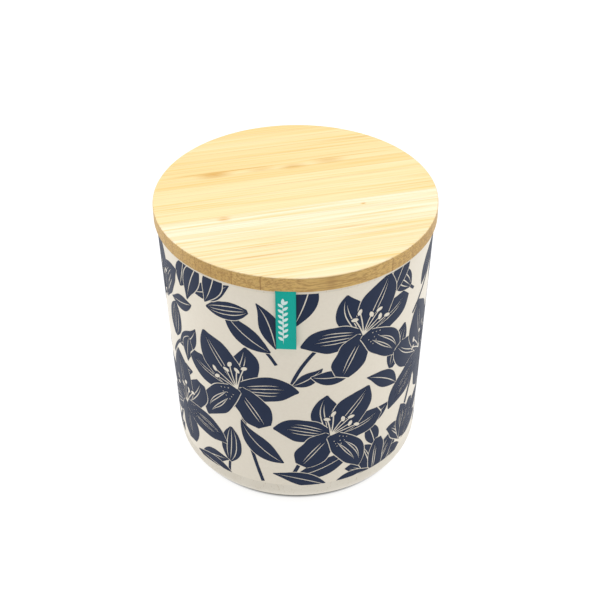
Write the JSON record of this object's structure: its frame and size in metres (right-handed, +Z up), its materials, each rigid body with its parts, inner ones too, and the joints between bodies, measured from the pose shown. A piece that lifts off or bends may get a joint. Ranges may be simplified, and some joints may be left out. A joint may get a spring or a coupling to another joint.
{
  "type": "storage canister",
  "caption": "Round moulded jar with a printed foil round its wall, a laminated bamboo lid with a silicone seal, and a folded ribbon label hanging from the lid.",
  "frame": {"origin": "centre of the face that the jar stands on", "axes": "+Z up along the jar's axis, -Y towards the ribbon label, +X to the right of somebody who faces the label"},
  "size_m": [0.11, 0.11, 0.118],
  "materials": {
    "jar": "moulded bamboo fibre in melamine, fine speckle, dull satin",
    "foil": "dark blue linocut-style lilies printed on a cream foil, moulded in flush, satin",
    "seal": "milky translucent silicone",
    "ribbon": "woven polyester ribbon with a white woven sprig",
    "bamboo": "sanded bamboo strips, thin clear oil"
  },
  "bodies": {
    "canister": {"canister_body": "jar", "decal_foil": "foil"},
    "seal": {"seal_ring": "seal"},
    "lid": {"label_ribbon": "ribbon", "lid_strip_01": "bamboo", "lid_strip_02": "bamboo", "lid_strip_03": "bamboo", "lid_strip_04": "bamboo", "lid_strip_05": "bamboo", "lid_strip_06": "bamboo", "lid_strip_07": "bamboo", "lid_strip_08": "bamboo", "lid_strip_09": "bamboo", "lid_strip_10": "bamboo", "lid_strip_11": "bamboo", "lid_strip_12": "bamboo", "lid_strip_13": "bamboo", "lid_strip_14": "bamboo", "lid_strip_15": "bamboo", "lid_strip_16": "bamboo", "lid_strip_17": "bamboo", "lid_strip_18": "bamboo", "lid_strip_19": "bamboo"}
  },
  "joints": [
    {"name": "lid_lift", "type": "slide", "parent": "canister", "child": "seal", "axis": [0, 0, 1], "range_m": [0, 0.12]},
    {"name": "lid_turn", "type": "hinge", "parent": "seal", "child": "lid", "pos_m": [0, 0, 0.1078], "axis": [0, 0, 1], "continuous": true}
  ]
}
